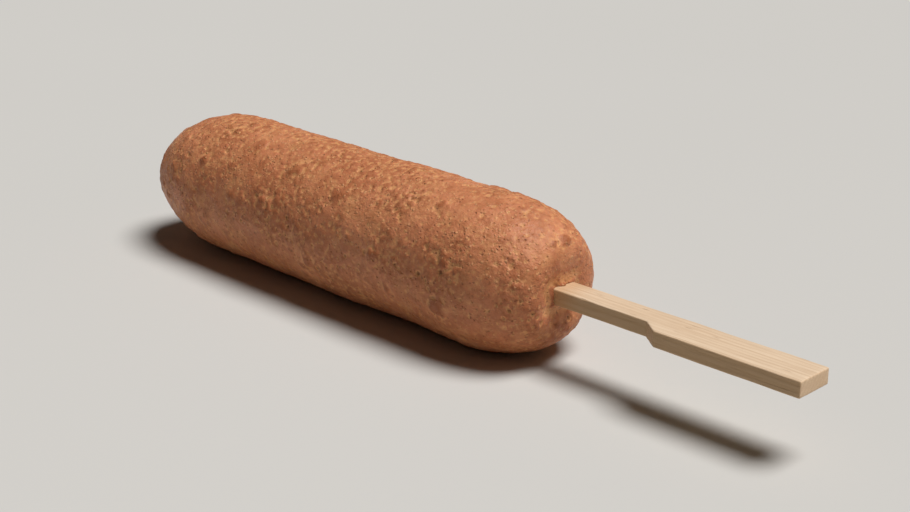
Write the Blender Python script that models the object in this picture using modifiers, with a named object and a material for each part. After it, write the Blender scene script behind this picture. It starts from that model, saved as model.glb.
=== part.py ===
"""Corn dog: a sausage dipped in corn batter and fried on a flat wooden stick, lying on its side.

Metres, +Z up. The long axis runs along X, the stick points to +X, and the origin is under the middle
of the whole, on the surface that it lies on. The stick lies flat, its stepped edge towards -Y.
"""

from math import cos, pi

import bmesh
import bpy
from mathutils import Matrix

# Battered body
BODY_RADIUS = 0.0197
BODY_LENGTH = 0.1540
FREE_END = 0.0290  # how far the rounded free end reaches past the straight flank
FREE_SHOULDER = 1.60  # 2 is an ellipse's shoulder, and less draws in earlier
FREE_BLUNTNESS = 2.60  # 2 is an ellipse's tip, and more is flatter
STICK_END = 0.0235
STICK_SHOULDER = 1.70
STICK_BLUNTNESS = 4.00
FLAT_DEPTH = 0.0007  # how much the batter gave where it lies
SWELL = 0.0010  # how far thick and thin batter stand apart, crest to hollow
SWELL_WIDTH = 0.0240

# Flat stick, cut from a thin board
STICK_THICKNESS = 0.0040
NECK_WIDTH = 0.0072
STEP = 0.0036  # how far the handle stands out past the neck, on one edge
STICK_OUT = 0.0704
STICK_INSIDE = 0.0760
NECK_OUT = 0.0268  # bare neck between the batter and the step
STEP_RUN = 0.0049
POINT_LENGTH = 0.0100
POINT_WIDTH = 0.0030
EDGE_ROUND = 0.0003

# Meshing and clearances
AROUND = 64
END_RINGS = 16
FLANK_RINGS = 26
SLOT_GAP = 0.0003
MERGE = 0.00002

# Places worked out from the dimensions above
WHOLE_LENGTH = BODY_LENGTH + STICK_OUT
FREE_TIP_X = -WHOLE_LENGTH / 2
MOUTH_X = FREE_TIP_X + BODY_LENGTH  # where the stick comes out of the batter
HANDLE_END_X = WHOLE_LENGTH / 2
AXIS_Z = BODY_RADIUS - FLAT_DEPTH

BATTER_COLOUR = (0.50, 0.20, 0.095, 1.0)
WOOD_COLOUR = (0.76, 0.57, 0.39, 1.0)


def clear_scene():
    for obj in list(bpy.data.objects):
        bpy.data.objects.remove(obj, do_unlink=True)


def new_collection(name, hidden=False):
    made = bpy.data.collections.new(name)
    made.hide_render = hidden
    bpy.context.scene.collection.children.link(made)
    return made


def material(name, colour, roughness):
    made = bpy.data.materials.new(name)
    made.use_nodes = True
    shader = made.node_tree.nodes["Principled BSDF"]
    shader.inputs["Base Color"].default_value = colour
    shader.inputs["Roughness"].default_value = roughness
    shader.inputs["Metallic"].default_value = 0.0
    return made


def add_object(name, mesh, collection):
    made = bpy.data.objects.new(name, mesh)
    collection.objects.link(made)
    return made


def rounded_end(reach, shoulder, bluntness):
    """(how far out, radius) from just past the flank to the tip, stepped evenly in angle."""
    points = []
    for i in range(1, END_RINGS + 1):
        share = cos(pi / 2 * i / END_RINGS) if i < END_RINGS else 0.0
        out = reach * (1 - share**bluntness) ** (1 / shoulder)
        points.append((out, BODY_RADIUS * share))
    return points


def body_profile():
    """(x, radius) down the outside of the body, from the stick's end to the free end."""
    stick_flank_x = MOUTH_X - STICK_END
    free_flank_x = FREE_TIP_X + FREE_END
    step = (stick_flank_x - free_flank_x) / FLANK_RINGS
    stick_end = rounded_end(STICK_END, STICK_SHOULDER, STICK_BLUNTNESS)
    free_end = rounded_end(FREE_END, FREE_SHOULDER, FREE_BLUNTNESS)
    return (
        [(stick_flank_x + out, radius) for out, radius in reversed(stick_end)]
        + [(stick_flank_x - step * i, BODY_RADIUS) for i in range(FLANK_RINGS + 1)]
        + [(free_flank_x - out, radius) for out, radius in free_end]
    )


def turn_about_axis(obj):
    """Spins an open profile into a solid about the object's own X axis."""
    screw = obj.modifiers.new("turn", "SCREW")
    screw.axis = "X"
    screw.steps = screw.render_steps = AROUND
    screw.use_merge_vertices = True
    screw.merge_threshold = MERGE
    screw.use_normal_calculate = True
    screw.use_smooth_shade = True


def swell(obj):
    """Thick and thin places in the hand-dipped batter."""
    noise = bpy.data.textures.new("thick_and_thin_batter", "CLOUDS")
    noise.noise_scale = SWELL_WIDTH
    noise.noise_depth = 0
    displace = obj.modifiers.new("swell", "DISPLACE")
    displace.texture = noise
    displace.texture_coords = "LOCAL"
    displace.strength = SWELL
    displace.mid_level = 0.5


def cut(obj, cutter):
    boolean = obj.modifiers.new(f"less_{cutter.name}", "BOOLEAN")
    boolean.operation = "DIFFERENCE"
    boolean.object = cutter
    boolean.solver = "EXACT"


def make_body(collection):
    points = [(x, 0.0, radius) for x, radius in body_profile()]
    mesh = bpy.data.meshes.new("battered_body")
    mesh.from_pydata(points, [(i, i + 1) for i in range(len(points) - 1)], [])
    body = add_object("battered_body", mesh, collection)
    body.location.z = AXIS_Z
    turn_about_axis(body)
    swell(body)
    return body


def stick_outline():
    """The stick seen from above, anticlockwise from its hidden point."""
    point_x = MOUTH_X - STICK_INSIDE
    far, near = NECK_WIDTH / 2, -NECK_WIDTH / 2
    step_x = MOUTH_X + NECK_OUT
    return [
        (point_x, POINT_WIDTH / 2),
        (point_x, -POINT_WIDTH / 2),
        (point_x + POINT_LENGTH, near),
        (step_x, near),
        (step_x + STEP_RUN, near - STEP),
        (HANDLE_END_X, near - STEP),
        (HANDLE_END_X, far),
        (point_x + POINT_LENGTH, far),
    ]


def flat_stick(name, collection, gap=0.0):
    """The outline cut through the board, grown by the gap on every side."""
    outline = bpy.data.curves.new(name, "CURVE")
    outline.dimensions = "2D"
    outline.fill_mode = "BOTH"
    outline.extrude = STICK_THICKNESS / 2 + gap
    outline.offset = gap
    spline = outline.splines.new("POLY")
    corners = stick_outline()
    spline.points.add(len(corners) - 1)
    for point, (x, y) in zip(spline.points, corners):
        point.co = (x, y, 0.0, 1.0)
    spline.use_cyclic_u = True
    blank = add_object(f"{name}_outline", outline, collection)
    bpy.context.view_layer.update()
    graph = bpy.context.evaluated_depsgraph_get()
    mesh = bpy.data.meshes.new_from_object(blank.evaluated_get(graph))
    mesh.name = name
    bpy.data.objects.remove(blank, do_unlink=True)
    weld = bmesh.new()
    weld.from_mesh(mesh)
    bmesh.ops.remove_doubles(weld, verts=weld.verts, dist=MERGE)
    bmesh.ops.dissolve_limit(weld, angle_limit=0.01, verts=weld.verts, edges=weld.edges)
    bmesh.ops.recalc_face_normals(weld, faces=weld.faces)
    weld.to_mesh(mesh)
    weld.free()
    made = add_object(name, mesh, collection)
    made.location.z = AXIS_Z
    return made


def make_stick(collection):
    stick = flat_stick("stick", collection)
    bevel = stick.modifiers.new("eased_edges", "BEVEL")
    bevel.width = EDGE_ROUND
    bevel.segments = 2
    bevel.limit_method = "ANGLE"
    return stick


def floor_block(collection):
    """A block whose top is the surface that the corn dog lies on."""
    mesh = bpy.data.meshes.new("lying_flat")
    block = bmesh.new()
    bmesh.ops.create_cube(block, size=1.0)
    depth = BODY_RADIUS
    bmesh.ops.transform(
        block,
        matrix=Matrix.Diagonal((2 * WHOLE_LENGTH, 4 * BODY_RADIUS, depth, 1.0)),
        verts=block.verts,
    )
    bmesh.ops.translate(block, vec=(0, 0, -depth / 2), verts=block.verts)
    block.to_mesh(mesh)
    block.free()
    return add_object("lying_flat", mesh, collection)


def as_cutter(obj):
    obj.hide_render = True
    obj.display_type = "WIRE"
    return obj


def main():
    clear_scene()
    parts = new_collection("corn_dog")
    cutters = new_collection("cutters", hidden=True)
    body = make_body(parts)
    stick = make_stick(parts)
    cut(body, as_cutter(flat_stick("stick_slot", cutters, gap=SLOT_GAP)))
    cut(body, as_cutter(floor_block(cutters)))
    body.data.materials.append(material("fried_batter", BATTER_COLOUR, 0.55))
    stick.data.materials.append(material("bare_wood", WOOD_COLOUR, 0.65))


main()
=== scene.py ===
"""Corn dog: fried crust and wooden stick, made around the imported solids.

Metres, +Z up. The corn dog lies along X with its stick towards +X, and the stick's step faces -Y.
"""

import random
from math import atan2, cos, exp, hypot, pi, radians, sin, sqrt

import bpy
import numpy as np
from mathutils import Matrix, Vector, kdtree
from mathutils.noise import fractal, noise as smooth_noise


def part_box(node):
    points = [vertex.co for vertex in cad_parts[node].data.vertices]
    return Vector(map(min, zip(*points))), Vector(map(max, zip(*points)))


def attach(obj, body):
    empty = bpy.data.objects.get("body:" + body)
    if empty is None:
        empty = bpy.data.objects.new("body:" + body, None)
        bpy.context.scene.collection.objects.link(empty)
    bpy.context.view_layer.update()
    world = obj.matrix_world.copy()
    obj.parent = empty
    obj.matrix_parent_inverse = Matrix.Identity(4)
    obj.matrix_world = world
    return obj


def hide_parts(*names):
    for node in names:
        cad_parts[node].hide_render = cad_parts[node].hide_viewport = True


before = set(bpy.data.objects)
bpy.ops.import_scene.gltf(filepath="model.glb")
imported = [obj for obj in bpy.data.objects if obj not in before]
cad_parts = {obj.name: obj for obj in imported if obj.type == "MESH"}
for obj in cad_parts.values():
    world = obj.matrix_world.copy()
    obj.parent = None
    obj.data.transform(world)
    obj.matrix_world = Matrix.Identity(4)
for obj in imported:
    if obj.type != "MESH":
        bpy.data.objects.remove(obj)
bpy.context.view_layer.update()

MM = 0.001

# Where the solids put the two pieces
BODY_LOW, BODY_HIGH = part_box("battered_body")
STICK_LOW, STICK_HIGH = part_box("stick")
AXIS_Z = (STICK_LOW.z + STICK_HIGH.z) / 2
HALF_LENGTH = STICK_HIGH.x

# Batter, to the dimensions of its solid
BODY_RADIUS = 19.7 * MM
BODY_LENGTH = 154.0 * MM
FREE_END = 29.0 * MM
FREE_SHOULDER = 1.60
FREE_BLUNTNESS = 2.60
STICK_END = 23.5 * MM
STICK_SHOULDER = 1.70
STICK_BLUNTNESS = 4.00
SWELL = 1.0 * MM
SWELL_WIDTH = 24 * MM
FREE_TIP_X = -HALF_LENGTH
MOUTH_X = FREE_TIP_X + BODY_LENGTH

# Crust
SPIN_STEPS = 128
END_RINGS = 24
FLANK_RINGS = 40
CRUST_GRID = 0.42 * MM
CRUST_TRIANGLES = 188_000
LUMP = 0.36 * MM
LUMP_WIDTH = 8 * MM
GRAIN = 0.16 * MM
GRAIN_WIDTH = 1.7 * MM
BLISTER_HEIGHT = 0.70 * MM
PEBBLE_HEIGHT = 0.34 * MM
PIT_DEPTH = 0.50 * MM
RAGGED = 0.45  # how far blisters, pebbles and pits depart from round
ROUGH_PATCH = 17 * MM  # how far apart rough and smooth stretches of skin lie
LIP_HEIGHT = 1.4 * MM
LIP_WIDTH = 1.0 * MM
LIP_TATTER = 1.5 * MM  # how far apart the nicks in the lip's edge lie
DIMPLE_DEPTH = 1.9 * MM  # how far the batter draws in round the stick, behind the lip
DIMPLE_WIDTH = 5.0 * MM
SLOT_GAP = 0.06 * MM
SPECK = 0.004 * MM

# Stick, to the dimensions of its solid
STICK_THICKNESS = 4.0 * MM
NECK_WIDTH = 7.2 * MM
STEP = 3.6 * MM
NECK_OUT = 26.8 * MM
STEP_RUN = 4.9 * MM
POINT_X = STICK_LOW.x
POINT_LENGTH = 10 * MM
POINT_WIDTH = 3.0 * MM
FIBRE = 0.035 * MM
FIBRE_WIDTH = 0.6 * MM
WARP = 0.06 * MM
WARP_WIDTH = 9 * MM
RING_WIDTH = 1.15 * MM
PITH_Y = -34 * MM  # where the middle of the tree lay from this board
PITH_ABOVE = 21 * MM

# Camera and light
KEY_FROM = (0.30, 0.19, 0.935)
KEY_STRENGTH = 3.45
KEY_SOFTNESS = 28
GLOW = 0.03
CAMERA_AZIMUTH = 45.0
CAMERA_ELEVATION = 20.0
CAMERA_DISTANCE = 0.4098
CAMERA_LENS = 63.63
AIM_X = 3.9 * MM


# ---------------------------------------------------------------- hands

def only(obj):
    """Selects this object alone and makes it the active one."""
    bpy.ops.object.select_all(action="DESELECT")
    obj.select_set(True)
    bpy.context.view_layer.objects.active = obj


def edit(obj):
    only(obj)
    bpy.ops.object.mode_set(mode="EDIT")


def done():
    bpy.ops.object.mode_set(mode="OBJECT")


def named(name):
    obj = bpy.context.object
    obj.name = obj.data.name = name
    return obj


def pick_vertices(obj, wanted):
    """In edit mode, selects just the vertices whose place passes the test."""
    bpy.ops.mesh.select_mode(type="VERT")
    bpy.ops.mesh.select_all(action="DESELECT")
    done()
    for vertex in obj.data.vertices:
        vertex.select = wanted(obj.matrix_world @ vertex.co)
    bpy.ops.object.mode_set(mode="EDIT")


def pick_faces(obj, wanted):
    """In edit mode, selects just the faces whose centre and normal pass the test."""
    bpy.ops.mesh.select_mode(type="FACE")
    bpy.ops.mesh.select_all(action="DESELECT")
    done()
    for face in obj.data.polygons:
        face.select = wanted(obj.matrix_world @ face.center, face.normal)
    bpy.ops.object.mode_set(mode="EDIT")


def apply_place(obj):
    only(obj)
    bpy.ops.object.transform_apply(location=True, rotation=True, scale=True)


def apply_modifier(obj, kind, name, **settings):
    """Adds a modifier, sets it and applies it."""
    modifier = obj.modifiers.new(name, kind)
    for key, value in settings.items():
        setattr(modifier, key, value)
    only(obj)
    bpy.ops.object.modifier_apply(modifier=modifier.name)


def cloud(name, width, depth=0):
    texture = bpy.data.textures.new(name, "CLOUDS")
    texture.noise_scale = width
    texture.noise_depth = depth
    return texture


# ---------------------------------------------------------------- crust

def rounded_end(reach, shoulder, bluntness):
    """(how far out, radius) from just past the flank to the tip, stepped evenly in angle."""
    points = []
    for i in range(1, END_RINGS + 1):
        share = cos(pi / 2 * i / END_RINGS) if i < END_RINGS else 0.0
        out = reach * (1 - share**bluntness) ** (1 / shoulder)
        points.append((out, BODY_RADIUS * share))
    return points


def body_profile():
    """(x, radius) from the stick's end to the free end."""
    stick_flank_x = MOUTH_X - STICK_END
    free_flank_x = FREE_TIP_X + FREE_END
    step = (stick_flank_x - free_flank_x) / FLANK_RINGS
    stick_end = rounded_end(STICK_END, STICK_SHOULDER, STICK_BLUNTNESS)
    free_end = rounded_end(FREE_END, FREE_SHOULDER, FREE_BLUNTNESS)
    return (
        [(stick_flank_x + out, radius) for out, radius in reversed(stick_end)]
        + [(stick_flank_x - step * i, BODY_RADIUS) for i in range(FLANK_RINGS + 1)]
        + [(free_flank_x - out, radius) for out, radius in free_end]
    )


def spin_body():
    """The smooth body: its outline drawn point by point, then spun about the long axis."""
    profile = body_profile()
    bpy.ops.object.select_all(action="DESELECT")
    bpy.ops.mesh.primitive_plane_add(size=MM, location=(0, 0, AXIS_Z))
    body = named("fried_crust")
    edit(body)
    bpy.ops.mesh.select_all(action="SELECT")
    bpy.ops.mesh.merge(type="CENTER")
    bpy.ops.transform.translate(value=(profile[0][0], 0, profile[0][1]))
    for (x, radius), (next_x, next_radius) in zip(profile, profile[1:]):
        move = (next_x - x, 0, next_radius - radius)
        bpy.ops.mesh.extrude_region_move(TRANSFORM_OT_translate={"value": move})
    bpy.ops.mesh.select_all(action="SELECT")
    bpy.ops.mesh.spin(
        steps=SPIN_STEPS, angle=2 * pi, center=(0, 0, AXIS_Z), axis=(1, 0, 0)
    )
    bpy.ops.mesh.select_all(action="SELECT")
    bpy.ops.mesh.remove_doubles(threshold=0.01 * MM)
    bpy.ops.mesh.normals_make_consistent(inside=False)
    done()
    return body


def settle(obj):
    """Flattens what would reach below the surface that the corn dog lies on."""
    edit(obj)
    pick_vertices(obj, lambda place: place.z < 0)
    bpy.ops.transform.resize(value=(1, 1, 0), center_override=(0, 0, 0))
    done()


def outside_stick(place):
    """How far a point near the mouth lies from the stick's cross-section."""
    across = max(abs(place.y) - NECK_WIDTH / 2, 0.0)
    above = max(abs(place.z - AXIS_Z) - STICK_THICKNESS / 2, 0.0)
    return hypot(across, above)


def spot_on_body(rng):
    """A random place near the crust's surface, evenly spread along the length and round it."""
    x = rng.uniform(FREE_TIP_X + 1 * MM, MOUTH_X - 1 * MM)
    turn = rng.uniform(0, 2 * pi)
    near_free = max(0.0, (FREE_TIP_X + FREE_END - x) / FREE_END)
    near_mouth = max(0.0, (x - (MOUTH_X - STICK_END)) / STICK_END)
    near_tip = max(near_free**FREE_SHOULDER, near_mouth**STICK_SHOULDER)
    radius = BODY_RADIUS * (1 - near_tip) ** 0.4
    return Vector((x, radius * sin(turn), AXIS_Z + radius * cos(turn)))


def scatter(tree, rng, heights, count, smallest, largest, shape, weakest=0.4):
    """Stamps a roundish shape on the heights at random spots of the crust, few large and
    many small. Where two meet, the taller shows, so that a crease runs between them."""
    for _ in range(count):
        share = rng.random() ** 2
        radius = smallest + (largest - smallest) * share
        strength = rng.uniform(weakest, 1.0) * (0.45 + 0.55 * share)
        centre, _, _ = tree.find(spot_on_body(rng))
        stretch = rng.uniform(0.75, 1.3)
        skew = rng.uniform(-0.5, 0.5)
        for place, index, _ in tree.find_range(centre, radius * 1.4):
            offset = place - centre
            along = offset.x * stretch + skew * offset.y * 0.4
            distance = sqrt(along**2 + offset.y**2 + offset.z**2) / radius
            distance *= 1 + RAGGED * smooth_noise(place / (0.8 * radius))
            if distance < 1:
                height = strength * shape(distance)
                if abs(height) > abs(heights[index]):
                    heights[index] = height


def dome(t):
    return (1 - t * t) ** 1.2


def bead(t):
    return (1 - t * t) ** 0.8


def pinhole(t):
    return -(1 - t**3)


def crater(t):
    """A burst bubble: a hollow inside a low rim."""
    return 0.40 * exp(-(((t - 0.76) / 0.16) ** 2)) - 1.0 * max(0.0, 1 - (t / 0.60) ** 3)


def vertex_tree(obj):
    tree = kdtree.KDTree(len(obj.data.vertices))
    for vertex in obj.data.vertices:
        tree.insert(vertex.co, vertex.index)
    tree.balance()
    return tree


def places(obj):
    found = np.empty(len(obj.data.vertices) * 3)
    obj.data.vertices.foreach_get("co", found)
    return found.reshape(-1, 3)


def normals(obj):
    found = np.empty(len(obj.data.vertices) * 3)
    obj.data.vertices.foreach_get("normal", found)
    return found.reshape(-1, 3)


def keep_values(obj, name, values):
    """Stores one value for each vertex, for the materials to read."""
    attribute = obj.data.attributes.new(name, "FLOAT", "POINT")
    attribute.data.foreach_set("value", np.asarray(values, dtype=np.float32))


def raise_vertices(obj, heights):
    """Moves each vertex out along its normal by its height."""
    moved = places(obj) + normals(obj) * heights[:, None]
    obj.data.vertices.foreach_set("co", moved.ravel())
    obj.data.update()


def spread_out(obj, values, rounds):
    """Averages each vertex's value with its neighbours' over and over."""
    edges = np.empty(len(obj.data.edges) * 2, dtype=np.int64)
    obj.data.edges.foreach_get("vertices", edges)
    first, second = edges.reshape(-1, 2).T
    count = len(values)
    neighbours = np.bincount(first, minlength=count) + np.bincount(second, minlength=count)
    for _ in range(rounds):
        total = np.bincount(first, values[second], count)
        total += np.bincount(second, values[first], count)
        values = 0.5 * values + 0.5 * total / neighbours
    return values


def skin_roughness(place):
    """From under a half where the skin is smooth to 1 where it bubbled."""
    wave = smooth_noise(place / ROUGH_PATCH) + 0.4 * smooth_noise(place / (0.4 * ROUGH_PATCH))
    return min(1.0, max(0.45, 0.70 + 0.9 * wave))


def fry(crust):
    """Blisters, pebbled skin, burst bubbles and pinholes from the hot oil."""
    rng = random.Random(11)
    tree = vertex_tree(crust)
    count = len(crust.data.vertices)
    blisters, pebbles, holes = np.zeros(count), np.zeros(count), np.zeros(count)
    scatter(tree, rng, blisters, 150, 1.2 * MM, 3.0 * MM, dome)
    scatter(tree, rng, pebbles, 5200, 0.7 * MM, 1.9 * MM, bead)
    scatter(tree, rng, holes, 70, 1.0 * MM, 1.9 * MM, crater)
    scatter(tree, rng, holes, 1300, 0.45 * MM, 0.95 * MM, pinhole)
    rough = np.array([skin_roughness(vertex.co) for vertex in crust.data.vertices])
    grain = np.array([
        fractal(vertex.co / GRAIN_WIDTH, 0.7, 2.0, 3) for vertex in crust.data.vertices
    ])
    fine = pebbles * PEBBLE_HEIGHT + grain * GRAIN + holes * PIT_DEPTH
    raise_vertices(crust, blisters * BLISTER_HEIGHT + fine * rough)
    keep_values(crust, "bubbled", rough)


def raise_lip(crust):
    """Batter that draws in towards the stick where it comes out, and climbs it in a thin lip."""
    rng = random.Random(5)
    waves = [(rng.uniform(0, 2 * pi), rng.uniform(0.08, 0.22)) for _ in range(5)]
    thin_batter = np.zeros(len(crust.data.vertices))
    for vertex in crust.data.vertices:
        if vertex.co.x < MOUTH_X - 6 * MM:
            continue
        turn = atan2(vertex.co.z - AXIS_Z, vertex.co.y)
        height = 0.7
        for i, (phase, size) in enumerate(waves):
            height += size * sin((i + 1) * turn + phase)
        height += 0.45 * smooth_noise(vertex.co / LIP_TATTER)
        away = outside_stick(vertex.co)
        climb = exp(-((away / LIP_WIDTH) ** 1.4))
        vertex.co.x += LIP_HEIGHT * max(0.15, height) * climb
        vertex.co.x -= DIMPLE_DEPTH * exp(-((away / DIMPLE_WIDTH) ** 2))
        thin_batter[vertex.index] = climb
    crust.data.update()
    keep_values(crust, "thin_batter", thin_batter)


# The crust's colour reads these heights for browning on the crests and for painted shade in the
# deepest pits.
def mark_browning_and_pit_shade(crust, smooth_places, smooth_normals):
    """Keeps on each vertex how far it stands above the crust around it, in tenths of a
    millimetre: over a wide stretch, and over a narrow one."""
    height = ((places(crust) - smooth_places) * smooth_normals).sum(1) / (0.1 * MM)
    near = spread_out(crust, height, 14)
    far = spread_out(crust, near, 160)
    keep_values(crust, "crests", height - near)
    keep_values(crust, "swells", near - far)


def make_crust():
    crust = spin_body()
    apply_modifier(
        crust, "DISPLACE", "swell", texture=cloud("thick_and_thin_batter", SWELL_WIDTH),
        texture_coords="LOCAL", strength=SWELL, mid_level=0.5,
    )
    apply_place(crust)
    settle(crust)
    apply_modifier(
        crust, "REMESH", "even_grid", mode="VOXEL", voxel_size=CRUST_GRID,
        use_smooth_shade=True,
    )
    apply_modifier(crust, "SMOOTH", "soften", factor=0.5, iterations=6)
    smooth_places, smooth_normals = places(crust), normals(crust)
    apply_modifier(
        crust, "DISPLACE", "lumps", texture=cloud("lumps", LUMP_WIDTH, 1),
        texture_coords="LOCAL", strength=LUMP, mid_level=0.5,
    )
    fry(crust)
    raise_lip(crust)
    mark_browning_and_pit_shade(crust, smooth_places, smooth_normals)
    settle(crust)
    crust.data.calc_loop_triangles()
    apply_modifier(
        crust, "DECIMATE", "thin_out", ratio=CRUST_TRIANGLES / len(crust.data.loop_triangles),
        use_collapse_triangulate=True,
    )
    settle(crust)
    only(crust)
    bpy.ops.object.shade_smooth()
    return crust


def slot_cutter(stick):
    """The plain stick, grown by a hair."""
    only(stick)
    bpy.ops.object.duplicate()
    cutter = named("slot_cutter")
    apply_modifier(cutter, "DISPLACE", "grow", strength=SLOT_GAP, mid_level=0.0)
    return cutter


def cut_slot(crust, cutter):
    """Opens the crust where the stick runs in."""
    apply_modifier(
        crust, "BOOLEAN", "slot", operation="DIFFERENCE", object=cutter, solver="EXACT"
    )
    bpy.data.objects.remove(cutter, do_unlink=True)
    edit(crust)
    bpy.ops.mesh.select_all(action="SELECT")
    bpy.ops.mesh.remove_doubles(threshold=SPECK)
    bpy.ops.mesh.select_all(action="SELECT")
    bpy.ops.mesh.dissolve_degenerate(threshold=SPECK)
    bpy.ops.mesh.select_all(action="SELECT")
    bpy.ops.mesh.quads_convert_to_tris()
    trim_flaps()
    done()


def trim_flaps():
    """In edit mode, removes any sliver of a face that hangs from the surface by one edge."""
    bpy.ops.mesh.select_mode(type="VERT")
    bpy.ops.mesh.select_all(action="DESELECT")
    bpy.ops.mesh.select_non_manifold(
        use_multi_face=False, use_non_contiguous=False, use_verts=False
    )
    bpy.ops.mesh.delete(type="ONLY_FACE")
    bpy.ops.mesh.select_all(action="SELECT")
    bpy.ops.mesh.delete_loose()


# ---------------------------------------------------------------- stick

def slice_across(obj, axis, cuts):
    """In edit mode, cuts the whole piece square across one axis at each of these places."""
    normal = Vector((0, 0, 0))
    normal[axis] = 1.0
    for cut in cuts:
        bpy.ops.mesh.select_all(action="SELECT")
        bpy.ops.mesh.bisect(plane_co=normal * cut, plane_no=normal)


def make_stick():
    """A strip of thin board: narrow neck, handle stepped out on one edge, hidden point."""
    end_x = STICK_HIGH.x
    step_x = MOUTH_X + NECK_OUT
    near = -NECK_WIDTH / 2
    bpy.ops.object.select_all(action="DESELECT")
    bpy.ops.mesh.primitive_cube_add(size=1, location=((POINT_X + end_x) / 2, 0, AXIS_Z))
    stick = named("wooden_stick")
    stick.scale = (end_x - POINT_X, NECK_WIDTH, STICK_THICKNESS)
    apply_place(stick)
    edit(stick)
    slice_across(stick, 0, (POINT_X + POINT_LENGTH, step_x, step_x + STEP_RUN))
    pick_faces(stick, lambda place, normal: normal.y < -0.9 and place.x > step_x)
    bpy.ops.mesh.extrude_region_move(TRANSFORM_OT_translate={"value": (0, -STEP, 0)})
    pick_vertices(stick, lambda place: place.y < near - STEP / 2 and place.x < step_x + MM)
    bpy.ops.transform.translate(value=(0, STEP, 0))
    bpy.ops.mesh.select_all(action="SELECT")
    bpy.ops.mesh.remove_doubles(threshold=0.01 * MM)
    pick_vertices(stick, lambda place: place.x < POINT_X + MM)
    bpy.ops.transform.resize(
        value=(1, POINT_WIDTH / NECK_WIDTH, 1), center_override=(POINT_X, 0, AXIS_Z)
    )
    bpy.ops.mesh.select_all(action="SELECT")
    bpy.ops.mesh.dissolve_limited(angle_limit=radians(1))
    bpy.ops.mesh.select_all(action="SELECT")
    bpy.ops.mesh.normals_make_consistent(inside=False)
    done()
    apply_modifier(
        stick, "BEVEL", "eased", width=0.35 * MM, segments=3, limit_method="ANGLE",
        angle_limit=radians(20),
    )
    return stick


def steps(low, high, size):
    """Evenly spaced places between two ends, about this far apart."""
    count = round((high - low) / size)
    return [low + (high - low) * i / count for i in range(1, count)]


def weather_stick(stick):
    """Sawing, tumbling and damp: fibres that stand proud and a faint waviness."""
    edit(stick)
    slice_across(stick, 0, steps(MOUTH_X - 2 * MM, STICK_HIGH.x, 1.4 * MM))
    slice_across(stick, 1, steps(STICK_LOW.y, STICK_HIGH.y, 0.30 * MM))
    slice_across(stick, 2, steps(STICK_LOW.z, STICK_HIGH.z, 0.30 * MM))
    done()
    heights = np.zeros(len(stick.data.vertices))
    for vertex in stick.data.vertices:
        place = vertex.co
        if place.x > MOUTH_X:
            fibre = fractal(Vector((place.x / 14, place.y, place.z)) / FIBRE_WIDTH, 0.8, 2.0, 2)
            heights[vertex.index] = FIBRE * fibre + WARP * smooth_noise(place / WARP_WIDTH)
    raise_vertices(stick, heights)
    only(stick)
    bpy.ops.object.shade_smooth_by_angle(angle=radians(35))


# ---------------------------------------------------------------- materials

def new_material(name):
    made = bpy.data.materials.new(name)
    made.use_nodes = True
    return made, made.node_tree, made.node_tree.nodes["Principled BSDF"]


def add_node(tree, kind, inputs=(), **settings):
    """Adds a node. An input's value is a number, a colour or another node's output."""
    made = tree.nodes.new(kind)
    for key, value in settings.items():
        setattr(made, key, value)
    for key, value in dict(inputs).items():
        if isinstance(value, bpy.types.NodeSocket):
            tree.links.new(value, made.inputs[key])
        else:
            made.inputs[key].default_value = value
    return made


def object_coords(tree, stretch=(1, 1, 1), turn=(0, 0, 0)):
    coords = add_node(tree, "ShaderNodeTexCoord").outputs["Object"]
    inputs = {"Vector": coords, "Scale": stretch, "Rotation": turn}
    return add_node(tree, "ShaderNodeMapping", inputs).outputs["Vector"]


def noise(tree, coords, width, detail=2.0, roughness=0.5, distortion=0.0):
    """Noise whose blotches are about this wide."""
    inputs = {
        "Vector": coords, "Scale": 1 / width, "Detail": detail,
        "Roughness": roughness, "Distortion": distortion,
    }
    return add_node(tree, "ShaderNodeTexNoise", inputs).outputs["Fac"]


def remap(tree, value, low, high, to_low=0.0, to_high=1.0):
    inputs = {
        "Value": value, "From Min": low, "From Max": high,
        "To Min": to_low, "To Max": to_high,
    }
    return add_node(tree, "ShaderNodeMapRange", inputs).outputs["Result"]


def blend(tree, share, first, second, mode="MIX"):
    made = add_node(tree, "ShaderNodeMix", data_type="RGBA", blend_type=mode)
    for index, value in ((0, share), (6, first), (7, second)):
        if isinstance(value, bpy.types.NodeSocket):
            tree.links.new(value, made.inputs[index])
        else:
            made.inputs[index].default_value = value
    return made.outputs[2]


def maths(tree, operation, first, second=0.0):
    made = add_node(tree, "ShaderNodeMath", {0: first, 1: second}, operation=operation)
    return made.outputs[0]


def rgb(red, green, blue):
    return (red, green, blue, 1.0)


def roughened(tree, coords, width, amount):
    """Coordinates pushed about by noise, so that a round pattern comes out ragged."""
    inputs = {"Vector": coords, "Scale": 1 / width, "Detail": 2.0}
    push = add_node(tree, "ShaderNodeTexNoise", inputs).outputs["Color"]
    offset = add_node(
        tree, "ShaderNodeVectorMath", {0: push, 1: (0.5, 0.5, 0.5)}, operation="SUBTRACT"
    ).outputs["Vector"]
    scaled = add_node(
        tree, "ShaderNodeVectorMath", {0: offset, "Scale": amount}, operation="SCALE"
    ).outputs["Vector"]
    moved = add_node(tree, "ShaderNodeVectorMath", {0: coords, 1: scaled}, operation="ADD")
    return moved.outputs["Vector"]


def specks(tree, coords, width, size, share):
    """Scattered ragged dots, strong at the heart. Only this share of the cells holds one."""
    inputs = {"Vector": roughened(tree, coords, width * 0.4, width * 0.5), "Scale": 1 / width}
    cells = add_node(tree, "ShaderNodeTexVoronoi", inputs)
    dot = remap(tree, cells.outputs["Distance"], size, size * 0.35)
    pick = add_node(tree, "ShaderNodeSeparateColor", {"Color": cells.outputs["Color"]})
    chosen = remap(tree, pick.outputs["Red"], share, share * 0.3)
    return maths(tree, "MULTIPLY", dot, chosen)


def kept(tree, name):
    return add_node(tree, "ShaderNodeAttribute", attribute_name=name).outputs["Fac"]


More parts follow.
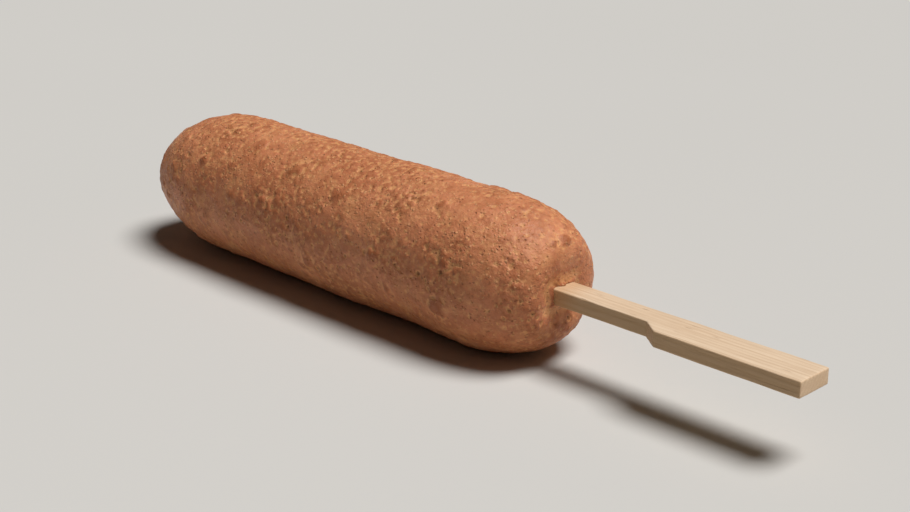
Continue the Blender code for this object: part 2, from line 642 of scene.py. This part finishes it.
def crust_material():
    made, tree, shader = new_material("fried_batter")
    coords = object_coords(tree)
    crests, swells = kept(tree, "crests"), kept(tree, "swells")
    bubbled, thin_batter = kept(tree, "bubbled"), kept(tree, "thin_batter")

    patches = remap(tree, noise(tree, coords, 26 * MM, 3), 0.36, 0.66)
    colour = blend(tree, patches, rgb(0.694, 0.267, 0.129), rgb(0.570, 0.199, 0.090))
    golden = remap(tree, noise(tree, coords, 8 * MM, 5, 0.65, 0.8), 0.48, 0.70)
    colour = blend(tree, maths(tree, "MULTIPLY", golden, 0.55), colour, rgb(0.800, 0.400, 0.170))
    mottle = remap(tree, noise(tree, coords, 4 * MM, 5, 0.65), 0.42, 0.66)
    colour = blend(tree, maths(tree, "MULTIPLY", mottle, 0.60), colour, rgb(0.420, 0.138, 0.054))
    fried = remap(tree, bubbled, 0.5, 1.0, 0.0, 0.25)
    colour = blend(tree, fried, colour, rgb(0.420, 0.140, 0.054))

    crested = remap(tree, crests, 0.1, 1.1, 0.0, 0.50)
    toasted = maths(tree, "ADD", remap(tree, swells, 0.3, 2.8, 0.0, 0.34), crested)
    colour = blend(tree, toasted, colour, rgb(0.360, 0.110, 0.040))
    pale = remap(tree, crests, -0.1, -0.8, 0.0, 0.50)
    colour = blend(tree, pale, colour, rgb(0.860, 0.450, 0.185))
    # Painted shade: the deepest pits, well below the crust around them, are darkened nearly to
    # black-brown.
    deep_pit_painted_shade = remap(tree, crests, -1.1, -2.8, 0.0, 0.80)
    colour = blend(tree, deep_pit_painted_shade, colour, rgb(0.220, 0.068, 0.026))
    crisp = remap(tree, thin_batter, 0.25, 0.9, 0.0, 0.5)
    colour = blend(tree, crisp, colour, rgb(0.360, 0.125, 0.050))

    grit = specks(tree, coords, 1.1 * MM, 0.38, 0.60)
    colour = blend(tree, maths(tree, "MULTIPLY", grit, 0.45), colour, rgb(0.880, 0.500, 0.225))
    char = specks(tree, coords, 2.0 * MM, 0.28, 0.35)
    colour = blend(tree, maths(tree, "MULTIPLY", char, 0.50), colour, rgb(0.170, 0.052, 0.022))
    # Painted shade: small dark dots inside the pinholes; the bump below also sinks the same dots.
    pores_with_painted_shade = specks(tree, coords, 1.0 * MM, 0.34, 0.42)
    colour = blend(tree, maths(tree, "MULTIPLY", pores_with_painted_shade, 0.35), colour, rgb(0.300, 0.095, 0.036))
    tree.links.new(colour, shader.inputs["Base Color"])

    oil = noise(tree, coords, 5 * MM, 3)
    oily = remap(tree, oil, 0.35, 0.65, -0.06, 0.06)
    roughness = maths(tree, "ADD", remap(tree, bubbled, 0.3, 1.0, 0.38, 0.52), oily)
    tree.links.new(roughness, shader.inputs["Roughness"])

    grain = noise(tree, coords, 0.9 * MM, 4, 0.62)
    raised = maths(tree, "ADD", grain, maths(tree, "MULTIPLY", grit, 0.5))
    height = maths(tree, "SUBTRACT", raised, maths(tree, "MULTIPLY", pores_with_painted_shade, 0.8))
    bump = add_node(
        tree, "ShaderNodeBump", {"Height": height, "Distance": 0.32 * MM, "Strength": 1.0}
    )
    tree.links.new(bump.outputs["Normal"], shader.inputs["Normal"])

    shader.inputs["Specular IOR Level"].default_value = 0.25
    shader.inputs["Subsurface Weight"].default_value = 0.08
    shader.inputs["Subsurface Radius"].default_value = (1.0, 0.42, 0.20)
    shader.inputs["Subsurface Scale"].default_value = 1.0 * MM
    return made


def growth_rings(tree, coords):
    """0 in the pale early wood to 1 in the thin darker line that ends each ring."""
    wander = noise(tree, object_coords(tree, stretch=(0.05, 0.5, 0.5)), 3 * MM, 2)
    split = add_node(tree, "ShaderNodeSeparateXYZ", {"Vector": coords}).outputs
    across = maths(tree, "SUBTRACT", split["Y"], PITH_Y)
    above = maths(tree, "SUBTRACT", split["Z"], AXIS_Z + PITH_ABOVE)
    squared = maths(
        tree, "ADD", maths(tree, "MULTIPLY", across, across), maths(tree, "MULTIPLY", above, above)
    )
    radius = maths(tree, "SQRT", squared)
    radius = maths(tree, "ADD", radius, maths(tree, "MULTIPLY", wander, 1.6 * RING_WIDTH))
    ring = maths(tree, "FRACT", maths(tree, "DIVIDE", radius, RING_WIDTH))
    late = remap(tree, ring, 0.45, 0.92)
    ended = remap(tree, ring, 1.0, 0.93)
    return maths(tree, "MULTIPLY", late, ended)


def facing(tree, axis):
    """1 on the faces square to this axis, fading to 0 round their edges."""
    normal = add_node(tree, "ShaderNodeTexCoord").outputs["Normal"]
    along = add_node(tree, "ShaderNodeSeparateXYZ", {"Vector": normal}).outputs[axis]
    return remap(tree, maths(tree, "ABSOLUTE", along), 0.45, 0.85)


def wood_material():
    made, tree, shader = new_material("pale_wood")
    plain = object_coords(tree)
    along = object_coords(tree, stretch=(0.03, 1, 1), turn=(0, 0, radians(1.2)))

    wander = noise(tree, object_coords(tree, stretch=(0.12, 1, 1)), 7 * MM, 2)
    drift = remap(tree, wander, 0.35, 0.65)
    colour = blend(tree, drift, rgb(0.830, 0.635, 0.450), rgb(0.770, 0.565, 0.385))
    rings = growth_rings(tree, plain)
    colour = blend(tree, maths(tree, "MULTIPLY", rings, 0.45), colour, rgb(0.620, 0.415, 0.250))
    streaks = remap(tree, noise(tree, along, 0.8 * MM, 3, 0.6), 0.45, 0.72)
    colour = blend(tree, maths(tree, "MULTIPLY", streaks, 0.40), colour, rgb(0.600, 0.400, 0.245))
    fibres = remap(tree, noise(tree, along, 0.26 * MM, 2, 0.6), 0.45, 0.72)
    colour = blend(tree, maths(tree, "MULTIPLY", fibres, 0.35), colour, rgb(0.520, 0.335, 0.190))
    flecks = specks(tree, object_coords(tree, stretch=(0.12, 1, 1)), 0.85 * MM, 0.26, 0.22)
    colour = blend(tree, maths(tree, "MULTIPLY", flecks, 0.60), colour, rgb(0.330, 0.190, 0.100))

    # Painted shade: both faces square to Y, the stick's sides, are darkened to a deeper brown as if
    # they lay in shade.
    side_faces_painted_shade = maths(tree, "MULTIPLY", facing(tree, "Y"), 0.65)
    colour = blend(tree, side_faces_painted_shade, colour, rgb(0.490, 0.295, 0.130))
    end_grain = noise(tree, plain, 0.22 * MM, 2, 0.6)
    open_end = maths(tree, "MULTIPLY", facing(tree, "X"), remap(tree, end_grain, 0.35, 0.65, 0.2, 0.7))
    colour = blend(tree, open_end, colour, rgb(0.780, 0.520, 0.305))

    from_mouth = add_node(tree, "ShaderNodeSeparateXYZ", {"Vector": plain}).outputs["X"]
    soak = maths(tree, "ADD", from_mouth, maths(tree, "MULTIPLY", streaks, -3 * MM))
    stained = remap(tree, soak, MOUTH_X + 6 * MM, MOUTH_X, 0.0, 0.55)
    colour = blend(tree, stained, colour, rgb(0.540, 0.310, 0.140))
    tree.links.new(colour, shader.inputs["Base Color"])

    roughness = remap(tree, fibres, 0.0, 1.0, 0.54, 0.70)
    tree.links.new(roughness, shader.inputs["Roughness"])
    lines = maths(tree, "ADD", fibres, maths(tree, "MULTIPLY", rings, 0.8))
    height = maths(tree, "ADD", lines, maths(tree, "MULTIPLY", flecks, 1.5))
    bump = add_node(
        tree, "ShaderNodeBump", {"Height": height, "Distance": -0.05 * MM, "Strength": 0.8}
    )
    tree.links.new(bump.outputs["Normal"], shader.inputs["Normal"])
    shader.inputs["Specular IOR Level"].default_value = 0.30
    return made


def floor_material():
    made, tree, shader = new_material("pale_floor")
    soft = noise(tree, object_coords(tree), 0.4, 2)
    colour = blend(tree, soft, rgb(0.600, 0.582, 0.550), rgb(0.628, 0.610, 0.578))
    tree.links.new(colour, shader.inputs["Base Color"])
    shader.inputs["Roughness"].default_value = 0.75
    shader.inputs["Specular IOR Level"].default_value = 0.2
    return made


def paint(obj, material):
    obj.data.materials.clear()
    obj.data.materials.append(material)


# ---------------------------------------------------------------- stage

def make_floor():
    bpy.ops.object.select_all(action="DESELECT")
    bpy.ops.mesh.primitive_circle_add(
        vertices=96, radius=20, fill_type="NGON", location=(0, 0, -0.05 * MM)
    )
    floor = named("floor")
    paint(floor, floor_material())


def light_the_stage():
    """One large even light from above, a little behind and towards the handle, and a faint
    glow all round."""
    key = bpy.data.lights.new("key", "SUN")
    key.energy = KEY_STRENGTH
    key.angle = radians(KEY_SOFTNESS)
    holder = bpy.data.objects.new("key", key)
    holder.rotation_euler = Vector(KEY_FROM).to_track_quat("Z", "Y").to_euler()
    bpy.context.scene.collection.objects.link(holder)

    world = bpy.data.worlds.new("studio")
    world.use_nodes = True
    tree = world.node_tree
    glow = tree.nodes["Background"]
    glow.inputs["Color"].default_value = rgb(1.0, 0.90, 0.78)
    glow.inputs["Strength"].default_value = GLOW
    wall = add_node(tree, "ShaderNodeBackground", {"Color": rgb(0.628, 0.610, 0.578)})
    seen = add_node(tree, "ShaderNodeLightPath").outputs["Is Camera Ray"]
    mixed = add_node(
        tree, "ShaderNodeMixShader",
        {0: seen, 1: glow.outputs["Background"], 2: wall.outputs["Background"]},
    )
    tree.links.new(mixed.outputs["Shader"], tree.nodes["World Output"].inputs["Surface"])
    bpy.context.scene.world = world
    bpy.context.scene.view_settings.view_transform = "Standard"


def aim(obj, target):
    obj.rotation_euler = (Vector(target) - obj.location).to_track_quat("-Z", "Y").to_euler()


def place_camera():
    azimuth, elevation = radians(CAMERA_AZIMUTH), radians(CAMERA_ELEVATION)
    target = Vector((AIM_X, 0, AXIS_Z))
    back = Vector((
        sin(azimuth) * cos(elevation), -cos(azimuth) * cos(elevation), sin(elevation)
    ))
    camera = bpy.data.objects.new("camera", bpy.data.cameras.new("camera"))
    camera.data.lens = CAMERA_LENS
    camera.data.clip_start = 0.01
    camera.location = target + back * CAMERA_DISTANCE
    bpy.context.scene.collection.objects.link(camera)
    aim(camera, target)
    bpy.context.scene.camera = camera


# ---------------------------------------------------------------- assembly

def main():
    place_camera()
    light_the_stage()
    make_floor()

    stick = make_stick()
    cutter = slot_cutter(stick)
    weather_stick(stick)
    crust = make_crust()
    cut_slot(crust, cutter)

    paint(crust, crust_material())
    paint(stick, wood_material())
    for piece, node, slot in (
        (crust, "battered_body", "fried_batter"),
        (stick, "stick", "bare_wood"),
    ):
        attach(piece, "root")
        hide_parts(node)


main()
